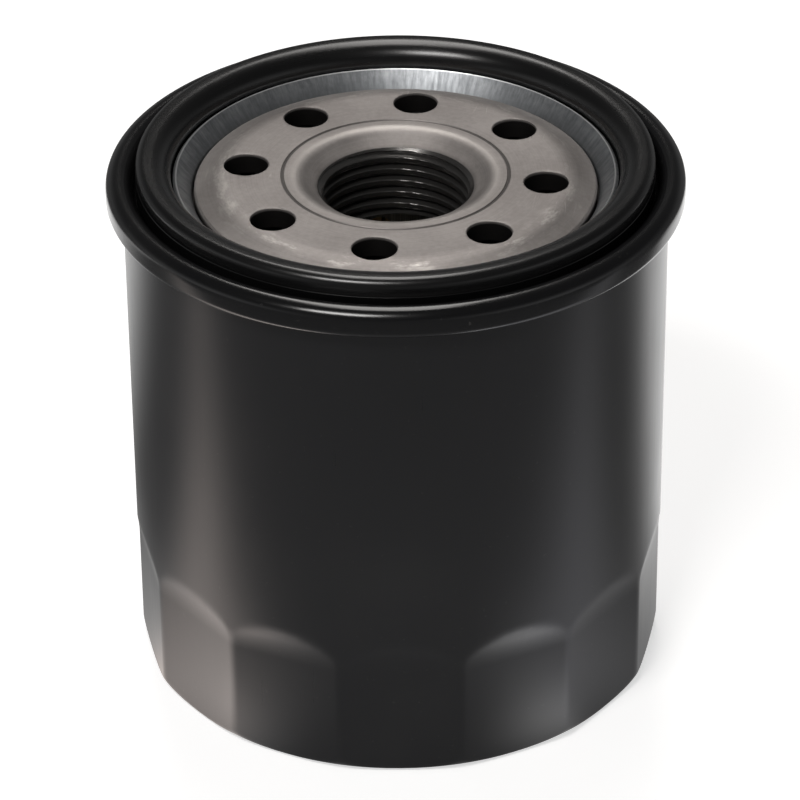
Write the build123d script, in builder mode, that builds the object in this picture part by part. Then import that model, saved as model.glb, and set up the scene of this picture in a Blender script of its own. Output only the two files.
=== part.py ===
"""Spin-on engine oil filter: drawn can, seamed lid, tapped base plate, and a spring-loaded element inside.

Millimetres. +Z is the filter's axis and points out of the mounting face. The origin is the centre of the
closed end, on the surface that the filter stands on. The first inlet hole stands on +Y.
"""

import math
import os

from build123d import *

# ---------------------------------------------------------------- driving dimensions
# overall sizes
can_diameter = 66.0  # outside of the drawn can
seam_height = 66.7  # closed end to the crown of the double seam
gasket_stand = 2.1  # sealing land above the seam's crown

# sheet metal
can_sheet = 0.5
lid_sheet = 0.6
plate_sheet = 2.6
cap_sheet = 0.4
tube_sheet = 0.5
seat_sheet = 0.5

# double seam, where the lid's edge is rolled round the can's
seam_gap = 0.1  # left for the sealing compound between two layers
seam_depth = 3.6  # crown to the lower curl
hook_clearance = 0.1  # end of a hook to the bend that it points into
sealant_fill = 0.85  # share of the bend's inside that the compound reaches across

# closed end and wrench flats
end_corner_radius = 2.25
end_recess_depth = 1.2
end_recess_inset = 12.0  # recessed centre panel, in from the can's side
flat_count = 14
flat_height = 16.1  # closed end to where the flats start to fade out
flat_angle = -82.0  # middle of one flat, measured about +Z from +X
flat_bite = 0.05  # corners between the flats stand this far inside the can's side
ramp_angle = 14.5  # slope of the fade-out, off vertical

# lid and gasket groove
floor_depth = 3.4  # crown to the groove's floor
chuck_bend = 0.5  # inside bend from the groove's floor to its outer wall
lip_bend = 0.3  # inside bend from the groove's floor to the lip
lip_flare = 50.0  # lip's slope, off horizontal
lip_length = 2.6  # straight stretch of the lip
gasket_width = 4.2  # leaves a flat land between the two rounds of its crown
gasket_side_gap = 0.5  # gasket to the groove's outer wall
gasket_outer_round = 1.1
gasket_inner_round = 2.6
gasket_foot = 1.25  # how far the foot reaches in beneath the lip
gasket_foot_height = 0.7
gasket_lip_gap = 0.15

# base plate
plate_rise = 3.0  # middle of the plate above its flange
plate_edge_drop = 1.3  # how far the raised part slopes down to its edge
plate_lip_gap = 0.2  # raised part's edge to the lip's foot
plate_side_gap = 0.2  # flange to the inside of the can
hole_count = 8
hole_diameter = 5.4
hole_ligament = 3.0  # collar's root to the holes
hole_margin = 0.25  # flat left outside the holes
groove_width = 0.3
groove_depth = 0.12
groove_margin = 1.9  # coined groove to the inlet holes

# stud thread, 3/4-16 UNF
thread_major = 19.05
thread_depth = 0.775  # crest to root, across the radius
thread_pitch = 25.4 / 16
thread_root_flat = 0.12
thread_half_angle = 30.0
collar_wall = 1.825  # outside the thread's root
collar_depth = 10.5  # plate's middle face to the collar's end
collar_funnel = 1.55  # depth of the countersunk mouth above the thread
collar_funnel_slope = 35.0  # off horizontal
collar_mouth_round = 2.5
collar_root_step = 1.25  # shoulder that the rubber valve is pressed against
collar_root_length = 3.9  # underside of the plate to that shoulder

# rubber valve that keeps the oil from draining back through the inlet holes
hub_wall = 2.4
hub_height = 2.2
hub_grip_gap = 0.05
flap_thickness = 0.9
lip_seat_width = 0.5
lip_overlap = 0.2  # seat's inner edge outside the holes
lip_height = 1.1
flap_end_rise = 0.3  # flap's end below the plate

# filter element
element_side_gap = 5.1  # end caps to the inside of the can
cap_wall_height = 3.4
cap_bore_gap = 0.25  # upper cap's bore round the collar
cap_bore_wall = 2.6
tube_gap = 0.1  # centre tube round the upper cap's bore wall
media_cap_gap = 0.5
media_tube_gap = 0.2
pleat_count = 48
paper = 0.5
outer_fold = 0.3  # half the space inside a pleat at its outer fold
inner_fold = 0.1  # half the space inside a pleat at its inner fold
potting_depth = 1.6
potting_sink = 1.0  # how deep the paper and the tube stand in the potting
clip_sheet = 0.3
clip_reach = 4.0
clip_gap = 0.03
clip_end_gap = 1.0
perforation_diameter = 3.0
perforations_per_row = 10
perforation_pitch = 6.0

# spring under the element
spring_wire = 1.6
spring_radius = 10.0
spring_height = 7.8
spring_turns = 2.5
spring_seat_rim = 1.5
spring_seat_bore = 6.0

# bypass valve in the lower end cap
bypass_bore = 11.2
bypass_bush_wall = 1.0
bypass_flange = 1.8
bypass_flange_sheet = 0.8
bypass_ridge_width = 0.6
bypass_ridge_height = 0.7
bypass_curl = 0.8
bypass_seal_width = 1.6
bypass_seal_thickness = 0.6
poppet_sheet = 0.6
poppet_overhang = 0.5
poppet_boss_radius = 3.4
poppet_boss_height = 0.6
poppet_stem_radius = 1.8
poppet_stem_gap = 0.2
cage_gap = 0.7
cage_sheet = 0.5
cage_height = 10.6
cage_flange_gap = 0.8
cage_window_width = 7.0
cage_window_height = 7.0
cage_windows = 4
bypass_spring_wire = 0.9
bypass_spring_radius = 4.5
bypass_spring_turns = 4.0

# ---------------------------------------------------------------- radii and heights that follow
can_radius = can_diameter / 2
can_bore = can_radius - can_sheet

# the seam's layers, from the inside out: lid, can, lid's hook, can's hook, lid
chuck_outer = can_bore - seam_gap
chuck_inner = chuck_outer - lid_sheet
cover_hook_inner = can_radius + seam_gap
cover_hook_outer = cover_hook_inner + lid_sheet
body_hook_inner = cover_hook_outer + seam_gap
body_hook_outer = body_hook_inner + can_sheet
panel_inner = body_hook_outer + seam_gap
panel_outer = panel_inner + lid_sheet
crown_radius = (panel_outer - chuck_inner) / 2
crown_r = (panel_outer + chuck_inner) / 2
crown_z = seam_height - crown_radius
curl_radius = (panel_outer - cover_hook_inner) / 2
curl_r = (panel_outer + cover_hook_inner) / 2
curl_z = seam_height - seam_depth + curl_radius
bend_radius = (body_hook_outer - can_bore) / 2

floor_top = seam_height - floor_depth
floor_under = floor_top - lid_sheet
gasket_outer = chuck_inner - gasket_side_gap
gasket_inner = gasket_outer - gasket_width
gasket_top = seam_height + gasket_stand

# the lip's straight stretch ends at the gasket's inner side
flare = math.radians(lip_flare)
lip_bend_outer = lip_bend + lid_sheet
lip_z = floor_top + lip_bend
lip_r = (gasket_inner - gasket_lip_gap - lip_length * math.cos(flare) + lip_bend * math.sin(flare))
lip_foot = lip_r - lip_bend_outer

plate_flange_top = floor_under
plate_flange_under = plate_flange_top - plate_sheet
plate_top = plate_flange_top + plate_rise
plate_under = plate_top - plate_sheet
plate_edge = lip_foot - plate_lip_gap
plate_radius = can_bore - plate_side_gap

thread_major_r = thread_major / 2
thread_minor_r = thread_major_r - thread_depth
collar_radius = thread_major_r + collar_wall
collar_root = collar_radius + collar_root_step
collar_end = plate_top - collar_depth
collar_mouth = thread_major_r + collar_funnel / math.tan(math.radians(collar_funnel_slope))
shoulder_z = plate_under - collar_root_length
hole_circle = collar_root + hole_ligament + hole_diameter / 2
hole_outer = hole_circle + hole_diameter / 2
groove_r = hole_circle - hole_diameter / 2 - groove_margin
plate_shoulder = hole_outer + hole_margin

hub_inner = collar_radius + hub_grip_gap
hub_outer = hub_inner + hub_wall
hub_bottom = shoulder_z - hub_height
lip_inner = hole_outer + lip_overlap
lip_outer = lip_inner + lip_seat_width
flap_end = lip_inner - lip_overlap - 0.15

cap_radius = can_bore - element_side_gap
cap_bore = collar_radius + cap_bore_gap
tube_inner = cap_bore + cap_sheet + tube_gap
tube_outer = tube_inner + tube_sheet
media_outer = cap_radius - cap_sheet - media_cap_gap
media_inner = tube_outer + media_tube_gap

recess_radius = can_radius - end_recess_inset
panel_top = end_recess_depth + can_sheet
spring_bottom = panel_top + seat_sheet
lower_cap_z = spring_bottom + spring_height
lower_cap_top = lower_cap_z + cap_sheet
upper_cap_z = hub_bottom
upper_cap_under = upper_cap_z - cap_sheet
media_bottom = lower_cap_top + potting_depth - potting_sink
media_top = upper_cap_under - potting_depth + potting_sink
element_middle = (media_bottom + media_top) / 2

bush_inner = bypass_bore / 2
bush_outer = bush_inner + bypass_bush_wall
bush_flange = bush_outer + bypass_flange
bush_flange_top = lower_cap_top + bypass_flange_sheet
ridge_top = bush_flange_top + bypass_ridge_height
seal_inner = bush_inner + (bypass_bush_wall + bypass_ridge_width - bypass_seal_width) / 2
seal_outer = seal_inner + bypass_seal_width
seal_top = ridge_top + bypass_seal_thickness
poppet_radius = seal_outer + poppet_overhang
poppet_top = seal_top + poppet_sheet
cage_inner = max(bush_flange, poppet_radius) + cage_gap
cage_outer = cage_inner + cage_sheet
cage_top = lower_cap_top + cage_height
cage_flange = tube_inner - cage_flange_gap


# ---------------------------------------------------------------- shared shapes
def finish(part, name):
    """Label a finished piece and write it to its own file."""
    part.label = name
    export_step(part, f"parts/{name}.step")


def radial_plane(angle):
    """The plane through the axis at an angle about it, with x pointing outwards and y up."""
    return Plane.XZ.rotated((0, 0, angle))


def facing_plane(angle, height):
    """The plane that faces outwards at an angle about the axis and a height, with its origin on the axis."""
    outwards = Vector(1, 0, 0).rotate(Axis.Z, angle)
    return Plane(origin=(0, 0, height), x_dir=Vector(0, 0, 1).cross(outwards), z_dir=outwards)


def fluted_blank(inset):
    """The can's outside, or its inside when inset is the sheet's thickness, as one solid block."""
    side = can_radius - inset
    apothem = (can_radius - flat_bite) * math.cos(math.pi / flat_count) - inset
    slope = math.tan(math.radians(ramp_angle))
    ramp_top = flat_height + 2 * (side - apothem) / slope
    reach = side * math.tan(math.pi / flat_count) + 1
    recess_wall = recess_radius + inset * math.tan(math.radians(22.5))
    with BuildPart() as blank:
        with BuildSketch(Plane.XY.offset(inset)):
            Circle(side)
        extrude(amount=crown_z - inset)
        fillet(blank.faces().sort_by(Axis.Z)[0].edges(), radius=end_corner_radius - inset)
        # each flat starts on the rounded corner, runs up, then fades out into the round side
        for flat in range(flat_count):
            with BuildSketch(radial_plane(flat_angle + flat * 360 / flat_count)):
                with BuildLine():
                    Polyline(
                        (apothem, inset - 1),
                        (apothem, flat_height),
                        (apothem + (ramp_top - flat_height) * slope, ramp_top),
                        (side + 3, ramp_top),
                        (side + 3, inset - 1),
                        close=True,
                    )
                make_face()
            extrude(amount=reach, both=True, mode=Mode.SUBTRACT)
        # the middle of the closed end is pressed inwards, so the filter stands on a ring
        with BuildSketch(Plane.XZ):
            with BuildLine():
                Polyline(
                    (0, inset),
                    (recess_wall + end_recess_depth, inset),
                    (recess_wall, inset + end_recess_depth),
                    (0, inset + end_recess_depth),
                    close=True,
                )
            make_face()
        revolve(axis=Axis.Z, mode=Mode.SUBTRACT)
    return blank.part


def coil(wire, radius, turns, bottom, top):
    """A right-hand coil spring with plain cut ends, between two flat seats."""
    rise = top - bottom - wire
    with BuildPart() as spring:
        with BuildLine() as path:
            Helix(rise / turns, rise, radius, center=(0, 0, bottom + wire / 2))
        with BuildSketch(Plane(origin=path.line @ 0, z_dir=path.line % 0)):
            Circle(wire / 2)
        sweep(path=path.line, is_frenet=True)
    return spring.part


os.makedirs("parts", exist_ok=True)

# ---------------------------------------------------------------- can
with BuildPart() as housing_can:
    add(fluted_blank(0))
    add(fluted_blank(can_sheet), mode=Mode.SUBTRACT)
    # the can's edge, bent out and down into the seam
    with BuildSketch(Plane.XZ):
        with BuildLine():
            CenterArc((crown_r, crown_z), bend_radius, 0, 180)
            Line((can_bore, crown_z), (can_radius, crown_z))
            CenterArc((crown_r, crown_z), bend_radius - can_sheet, 180, -180)
            Polyline(
                (body_hook_inner, crown_z),
                (body_hook_inner, curl_z + hook_clearance),
                (body_hook_outer, curl_z + hook_clearance),
                (body_hook_outer, crown_z),
            )
        make_face()
    revolve(axis=Axis.Z)
finish(housing_can.part, "housing_can")

# ---------------------------------------------------------------- lid, one sheet from the cover hook to the lip
with BuildPart() as seaming_lid:
    with BuildSketch(Plane.XZ):
        with BuildLine():
            # upper and outer face, from the lip's edge to the end of the hook
            lip_back = 180 - lip_flare
            back_bend = CenterArc((lip_r, lip_z), lip_bend_outer, lip_back, 270 - lip_back)
            back_run = PolarLine(back_bend @ 0, lip_length, lip_flare)
            groove_bend = (chuck_inner - chuck_bend, floor_top + chuck_bend)
            under_floor = Line(back_bend @ 1, (chuck_inner - chuck_bend, floor_under))
            under_bend = CenterArc(groove_bend, chuck_bend + lid_sheet, 270, 90)
            chuck_back = Line(under_bend @ 1, (chuck_outer, crown_z))
            crown_inside = CenterArc((crown_r, crown_z), crown_radius - lid_sheet, 180, -180)
            panel_back = Line(crown_inside @ 1, (panel_inner, curl_z))
            curl_inside = CenterArc((curl_r, curl_z), curl_radius - lid_sheet, 0, -180)
            hook_back = Line(curl_inside @ 1, (cover_hook_outer, crown_z - hook_clearance))
            hook_end = Line(hook_back @ 1, (cover_hook_inner, crown_z - hook_clearance))
            hook_face = Line(hook_end @ 1, (cover_hook_inner, curl_z))
            curl_face = CenterArc((curl_r, curl_z), curl_radius, 180, 180)
            panel_face = Line(curl_face @ 1, (panel_outer, crown_z))
            crown_face = CenterArc((crown_r, crown_z), crown_radius, 0, 180)
            chuck_face = Line(crown_face @ 1, (chuck_inner, floor_top + chuck_bend))
            floor_bend = CenterArc(groove_bend, chuck_bend, 0, -90)
            floor_face = Line(floor_bend @ 1, (lip_r, floor_top))
            lip_inside = CenterArc((lip_r, lip_z), lip_bend, 270, lip_back - 270)
            lip_run = PolarLine(lip_inside @ 1, lip_length, lip_flare)
            Line(lip_run @ 1, back_run @ 1)
        make_face()
    revolve(axis=Axis.Z)
finish(seaming_lid.part, "seaming_lid")

# compound in the curl below the can's hook, and above the lid's hook
with BuildPart() as seam_sealant:
    with BuildSketch(Plane.XZ):
        for middle, bend_z, room, down in (
            (curl_r, curl_z, curl_radius - lid_sheet, -1),
            (crown_r, crown_z, bend_radius - can_sheet, 1),
        ):
            half = room * sealant_fill
            with BuildLine():
                Polyline(
                    (middle - half, bend_z),
                    (middle + half, bend_z),
                    (middle + half / 2, bend_z + down * half),
                    (middle - half / 2, bend_z + down * half),
                    close=True,
                )
            make_face()
    revolve(axis=Axis.Z)
finish(seam_sealant.part, "seam_sealant")

# ---------------------------------------------------------------- base plate with its threaded collar
# the section stands across the axis from the thread's two ends
with BuildPart() as base_plate:
    with BuildSketch(radial_plane(100)):
        with BuildLine():
            # the mouth's rounded edge begins this far outside the corner of its cone
            roll = collar_mouth_round * math.tan(math.radians(collar_funnel_slope / 2))
            mouth_roll = CenterArc(
                (collar_mouth + roll, plate_top - collar_mouth_round),
                collar_mouth_round, 90, collar_funnel_slope,
            )
            Polyline(
                (thread_minor_r, collar_end),
                (thread_minor_r, plate_top - collar_funnel - thread_depth),
                (thread_major_r, plate_top - collar_funnel),
                mouth_roll @ 1,
            )
            Polyline(
                mouth_roll @ 0,
                (plate_shoulder, plate_top),
                (plate_edge, plate_top - plate_edge_drop),
                (plate_edge, plate_flange_top),
                (plate_radius, plate_flange_top),
                (plate_radius, plate_flange_under),
                (plate_edge - 0.4, plate_flange_under),
                (lip_outer + 0.3, plate_under),
                (collar_root, plate_under),
                (collar_root, shoulder_z),
                (collar_radius, shoulder_z),
                (collar_radius, collar_end),
                (thread_minor_r, collar_end),
            )
        make_face()
    revolve(axis=Axis.Z)
    with BuildSketch(Plane.XY.offset(plate_top)):
        with PolarLocations(hole_circle, hole_count, start_angle=90):
            Circle(hole_diameter / 2)
    extrude(amount=-2 * plate_sheet, mode=Mode.SUBTRACT)
    # coined groove between the collar and the holes
    with BuildSketch(Plane.XY.offset(plate_top)):
        Circle(groove_r + groove_width / 2)
        Circle(groove_r - groove_width / 2, mode=Mode.SUBTRACT)
    extrude(amount=-groove_depth, mode=Mode.SUBTRACT)
    # right-hand thread through the collar
    thread_start = collar_end - thread_pitch
    thread_rise = collar_depth + 2 * thread_pitch
    with BuildLine() as thread_path:
        Helix(thread_pitch, thread_rise, thread_minor_r, center=(0, 0, thread_start))
    with BuildSketch(Plane.XZ):
        cut_inner = thread_minor_r - 0.15
        cut_slope = math.tan(math.radians(thread_half_angle))
        cut_half = thread_root_flat / 2 + (thread_major_r - cut_inner) * cut_slope
        with BuildLine():
            Polyline(
                (cut_inner, thread_start - cut_half),
                (thread_major_r, thread_start - thread_root_flat / 2),
                (thread_major_r, thread_start + thread_root_flat / 2),
                (cut_inner, thread_start + cut_half),
                close=True,
            )
        make_face()
    sweep(path=thread_path.line, is_frenet=True, mode=Mode.SUBTRACT)
finish(base_plate.part, "base_plate")

# ---------------------------------------------------------------- sealing gasket in the lid's groove
with BuildPart() as sealing_gasket:
    with BuildSketch(Plane.XZ):
        with BuildLine():
            crown_out = gasket_outer - gasket_outer_round
            crown_in = gasket_inner + gasket_inner_round
            foot = gasket_inner - gasket_foot
            foot_top = floor_top + gasket_foot_height
            neck_z = foot_top + gasket_foot * math.tan(flare)
            foot_bend = (gasket_outer - chuck_bend, floor_top + chuck_bend)
            outer_wall = CenterArc(foot_bend, chuck_bend, 270, 90)
            Line(outer_wall @ 1, (gasket_outer, gasket_top - gasket_outer_round))
            CenterArc((crown_out, gasket_top - gasket_outer_round), gasket_outer_round, 0, 90)
            Line((crown_out, gasket_top), (crown_in, gasket_top))
            CenterArc((crown_in, gasket_top - gasket_inner_round), gasket_inner_round, 90, 90)
            Polyline(
                (gasket_inner, gasket_top - gasket_inner_round),
                (gasket_inner, neck_z),
                (foot, foot_top),
                (foot, floor_top),
                outer_wall @ 0,
            )
        make_face()
    revolve(axis=Axis.Z)
finish(sealing_gasket.part, "sealing_gasket")

# ---------------------------------------------------------------- anti-drain valve, hub and flap
with BuildPart() as anti_drain_valve:
    with BuildSketch(Plane.XZ):
        with BuildLine():
            Polyline(
                (hub_inner, hub_bottom),
                (hub_outer, hub_bottom),
                (hub_outer, shoulder_z - flap_thickness),
                (flap_end, plate_under - flap_end_rise - flap_thickness),
                (flap_end, plate_under - flap_end_rise),
                (hub_outer - flap_thickness / 2, shoulder_z),
                (hub_inner, shoulder_z),
                close=True,
            )
        make_face()
    revolve(axis=Axis.Z)
finish(anti_drain_valve.part, "anti_drain_valve")

# sealing lip round the flap's edge, which lies on the plate just outside the inlet holes
with BuildPart() as anti_drain_lip:
    with BuildSketch(Plane.XZ):
        with BuildLine():
            Polyline(
                (flap_end, plate_under - flap_end_rise - flap_thickness),
                (lip_inner + 0.2, plate_under - lip_height),
                (lip_outer, plate_under - lip_height / 2),
                (lip_outer, plate_under),
                (lip_inner, plate_under),
                (flap_end, plate_under - flap_end_rise),
                close=True,
            )
        make_face()
    revolve(axis=Axis.Z)
finish(anti_drain_lip.part, "anti_drain_lip")

# ---------------------------------------------------------------- end caps
with BuildPart() as upper_end_cap:
    with BuildSketch(Plane.XY.offset(upper_cap_z - cap_wall_height)):
        Circle(cap_radius)
    extrude(amount=cap_wall_height)
    fillet(upper_end_cap.faces().sort_by(Axis.Z)[-1].edges(), radius=2 * cap_sheet)
    with BuildSketch(Plane.XY.offset(upper_cap_z - cap_wall_height)):
        Circle(cap_radius - cap_sheet)
    extrude(amount=cap_wall_height - cap_sheet, mode=Mode.SUBTRACT)
    # wall round the bore, which guides the element on the collar
    with BuildSketch(Plane.XY.offset(upper_cap_z - cap_bore_wall)):
        Circle(cap_bore + cap_sheet)
    extrude(amount=cap_bore_wall)
    with BuildSketch(Plane.XY.offset(upper_cap_z)):
        Circle(cap_bore)
    extrude(amount=-cap_wall_height, mode=Mode.SUBTRACT)
finish(upper_end_cap.part, "upper_end_cap")

with BuildPart() as lower_end_cap:
    with BuildSketch(Plane.XY.offset(lower_cap_z)):
        Circle(cap_radius)
    extrude(amount=cap_wall_height)
    fillet(lower_end_cap.faces().sort_by(Axis.Z)[0].edges(), radius=2 * cap_sheet)
    with BuildSketch(Plane.XY.offset(lower_cap_top)):
        Circle(cap_radius - cap_sheet)
    extrude(amount=cap_wall_height, mode=Mode.SUBTRACT)
    with BuildSketch(Plane.XY.offset(lower_cap_z)):
        Circle(bush_outer)
    extrude(amount=cap_sheet, mode=Mode.SUBTRACT)
finish(lower_end_cap.part, "lower_end_cap")

# ---------------------------------------------------------------- centre tube
with BuildPart() as centre_tube:
    with BuildSketch(Plane.XY.offset(media_bottom)):
        Circle(tube_outer)
        Circle(tube_inner, mode=Mode.SUBTRACT)
    extrude(amount=media_top - media_bottom)
    free_height = media_top - media_bottom - 2 * potting_sink - perforation_pitch
    rows = int(free_height / perforation_pitch) + 1
    for row in range(rows):
        z = element_middle + (row - (rows - 1) / 2) * perforation_pitch
        turn = (row % 2) * 180 / perforations_per_row
        for place in range(perforations_per_row):
            with BuildSketch(facing_plane(turn + place * 360 / perforations_per_row, z)):
                Circle(perforation_diameter / 2)
            extrude(amount=tube_outer + 1, mode=Mode.SUBTRACT)
finish(centre_tube.part, "centre_tube")


# ---------------------------------------------------------------- pleated paper
def around(radius, angle, across):
    """The point at a radius and an angle, moved sideways by a distance across."""
    turned = angle + across / radius
    return (radius * math.cos(turned), radius * math.sin(turned))


pleat_angle = 2 * math.pi / pleat_count
outside, inside = [], []
for pleat in range(pleat_count):
    tip = pleat * pleat_angle
    root = tip + pleat_angle / 2
    outer_half = outer_fold + paper
    inner_half = inner_fold + paper
    outside += [around(media_outer, tip, side * outer_half) for side in (-1, 1)]
    outside += [around(media_inner + paper, root, side * inner_fold) for side in (-1, 1)]
    inside += [around(media_outer - paper, tip, side * outer_fold) for side in (-1, 1)]
    inside += [around(media_inner, root, side * inner_half) for side in (-1, 1)]

with BuildPart() as pleated_media:
    with BuildSketch(Plane.XY.offset(media_bottom)):
        with BuildLine():
            Polyline(*outside, close=True)
        make_face()
        with BuildLine():
            Polyline(*inside, close=True)
        make_face(mode=Mode.SUBTRACT)
    extrude(amount=media_top - media_bottom)
finish(pleated_media.part, "pleated_media")

# clip that joins the two ends of the paper, over the pleat on +X
leg_spread = (pleat_angle / 2 * (media_inner + paper) - inner_fold) - (outer_fold + paper)
leg_length = media_outer - media_inner - paper
clip_half = outer_fold + paper + max(0, leg_spread * clip_reach / leg_length) + clip_gap
with BuildPart() as media_seam_clip:
    with BuildSketch(Plane.XY.offset(media_bottom + potting_sink + clip_end_gap)):
        with Locations((media_outer + clip_gap - clip_reach, 0)):
            Rectangle(
                clip_reach + clip_sheet, 2 * (clip_half + clip_sheet), align=(Align.MIN, Align.CENTER)
            )
            Rectangle(clip_reach, 2 * clip_half, align=(Align.MIN, Align.CENTER), mode=Mode.SUBTRACT)
    extrude(amount=media_top - media_bottom - 2 * (potting_sink + clip_end_gap))
finish(media_seam_clip.part, "media_seam_clip")

# ---------------------------------------------------------------- potting, with the paper and the tube sunk into it
for name, bottom in (
    ("upper_potting", upper_cap_under - potting_depth),
    ("lower_potting", lower_cap_top),
):
    with BuildPart() as potting:
        with BuildSketch(Plane.XY.offset(bottom)):
            Circle(cap_radius - cap_sheet)
            Circle(tube_inner, mode=Mode.SUBTRACT)
        extrude(amount=potting_depth)
        add(pleated_media.part, mode=Mode.SUBTRACT)
        add(centre_tube.part, mode=Mode.SUBTRACT)
    finish(potting.part, name)

# ---------------------------------------------------------------- bypass valve
# flanged bush, curled over below the lower cap, with the ridge that the seal closes on
with BuildPart() as bypass_seat:
    with BuildSketch(Plane.XZ):
        with BuildLine():
            Polyline(
                (bush_inner, lower_cap_z - bypass_curl),
                (bush_outer + bypass_curl, lower_cap_z - bypass_curl),
                (bush_outer + bypass_curl, lower_cap_z),
                (bush_outer, lower_cap_z),
                (bush_outer, lower_cap_top),
                (bush_flange, lower_cap_top),
                (bush_flange, bush_flange_top),
                (bush_inner + bypass_bush_wall + bypass_ridge_width, bush_flange_top),
                (bush_inner + bypass_bush_wall, ridge_top),
                (bush_inner + bypass_ridge_width, ridge_top),
                (bush_inner, bush_flange_top),
                close=True,
            )
        make_face()
    revolve(axis=Axis.Z)
finish(bypass_seat.part, "bypass_seat")

with BuildPart() as bypass_seal:
    with BuildSketch(Plane.XY.offset(ridge_top)):
        Circle(seal_outer)
        Circle(seal_inner, mode=Mode.SUBTRACT)
    extrude(amount=bypass_seal_thickness)
finish(bypass_seal.part, "bypass_seal")

with BuildPart() as bypass_poppet:
    with BuildSketch(Plane.XY.offset(seal_top)):
        Circle(poppet_radius)
    extrude(amount=poppet_sheet)
    with BuildSketch(Plane.XY.offset(poppet_top)):
        Circle(poppet_boss_radius)
    extrude(amount=poppet_boss_height)
    with BuildSketch(Plane.XY.offset(poppet_top)):
        Circle(poppet_stem_radius)
    extrude(amount=cage_top - poppet_top + poppet_stem_radius)
    chamfer(bypass_poppet.faces().sort_by(Axis.Z)[-1].edges(), length=poppet_stem_radius / 4)
finish(bypass_poppet.part, "bypass_poppet")

# inverted cup with windows, which holds the spring and guides the stem
with BuildPart() as bypass_cage:
    with BuildSketch(Plane.XZ):
        with BuildLine():
            Polyline(
                (poppet_stem_radius + poppet_stem_gap, cage_top),
                (cage_outer, cage_top),
                (cage_outer, lower_cap_top + cage_sheet),
                (cage_flange, lower_cap_top + cage_sheet),
                (cage_flange, lower_cap_top),
                (cage_inner, lower_cap_top),
                (cage_inner, cage_top - cage_sheet),
                (poppet_stem_radius + poppet_stem_gap, cage_top - cage_sheet),
                close=True,
            )
        make_face()
    revolve(axis=Axis.Z)
    window_z = lower_cap_top + (cage_height + cage_sheet) / 2
    for window in range(cage_windows):
        with BuildSketch(facing_plane(45 + window * 360 / cage_windows, window_z)):
            RectangleRounded(cage_window_width, cage_window_height, 1.0)
        extrude(amount=cage_outer + 1, mode=Mode.SUBTRACT)
finish(bypass_cage.part, "bypass_cage")

bypass_spring = coil(
    bypass_spring_wire, bypass_spring_radius, bypass_spring_turns, poppet_top, cage_top - cage_sheet
)
finish(bypass_spring, "bypass_spring")

# ---------------------------------------------------------------- spring under the element, and its seat
element_spring = coil(spring_wire, spring_radius, spring_turns, spring_bottom, lower_cap_z)
finish(element_spring, "element_spring")

with BuildPart() as spring_seat:
    with BuildSketch(Plane.XY.offset(panel_top)):
        Circle(spring_radius + spring_wire + seat_sheet)
        Circle(spring_seat_bore, mode=Mode.SUBTRACT)
    extrude(amount=seat_sheet)
    with BuildSketch(Plane.XY.offset(spring_bottom)):
        Circle(spring_radius + spring_wire + seat_sheet)
        Circle(spring_radius + spring_wire, mode=Mode.SUBTRACT)
    extrude(amount=spring_seat_rim)
finish(spring_seat.part, "spring_seat")
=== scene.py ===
"""Looks of a spin-on oil filter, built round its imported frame.

Sizes are in millimetres and are turned into metres where a mesh is made. The filter stands on its closed end, with
+Z along its axis. Each sub-assembly is a class that builds its own pieces and gives them their finishes.
"""

import logging
import math
from dataclasses import dataclass, field
from enum import Enum
from typing import Any, Callable

import bmesh
import bpy
from mathutils import Matrix, Vector


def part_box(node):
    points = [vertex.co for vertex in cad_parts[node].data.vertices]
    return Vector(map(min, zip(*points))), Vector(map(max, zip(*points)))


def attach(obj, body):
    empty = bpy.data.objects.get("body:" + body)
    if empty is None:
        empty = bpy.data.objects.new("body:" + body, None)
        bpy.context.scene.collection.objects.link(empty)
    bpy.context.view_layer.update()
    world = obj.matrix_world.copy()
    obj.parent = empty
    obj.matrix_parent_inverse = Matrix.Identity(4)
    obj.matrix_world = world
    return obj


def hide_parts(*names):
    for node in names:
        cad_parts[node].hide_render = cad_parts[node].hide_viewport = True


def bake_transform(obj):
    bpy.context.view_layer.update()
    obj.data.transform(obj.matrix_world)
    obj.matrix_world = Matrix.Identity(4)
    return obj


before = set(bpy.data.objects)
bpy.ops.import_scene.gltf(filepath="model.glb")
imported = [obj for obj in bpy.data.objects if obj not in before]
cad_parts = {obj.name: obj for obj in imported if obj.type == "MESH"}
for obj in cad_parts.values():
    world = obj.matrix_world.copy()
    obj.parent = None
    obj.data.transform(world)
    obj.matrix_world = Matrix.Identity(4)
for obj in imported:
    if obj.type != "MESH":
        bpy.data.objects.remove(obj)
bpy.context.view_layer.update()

MM = 0.001
log = logging.getLogger("oil_filter")

Point = tuple[float, float]
Colour = tuple[float, float, float, float]


# ---------------------------------------------------------------- names
class Body(str, Enum):
    """The bodies that pieces ride on."""

    HOUSING = "housing"
    ELEMENT = "element"
    BYPASS = "bypass_valve"
    DRAIN_LIP = "drain_lip"


class Grain(Enum):
    """Which way a sheet's drawing marks run."""

    ROUND = "round"
    UPRIGHT = "upright"


def node_box(node: str) -> tuple[Vector, Vector]:
    """A CAD node's lowest and highest corners, in millimetres."""
    low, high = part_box(node)
    return low / MM, high / MM


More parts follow.
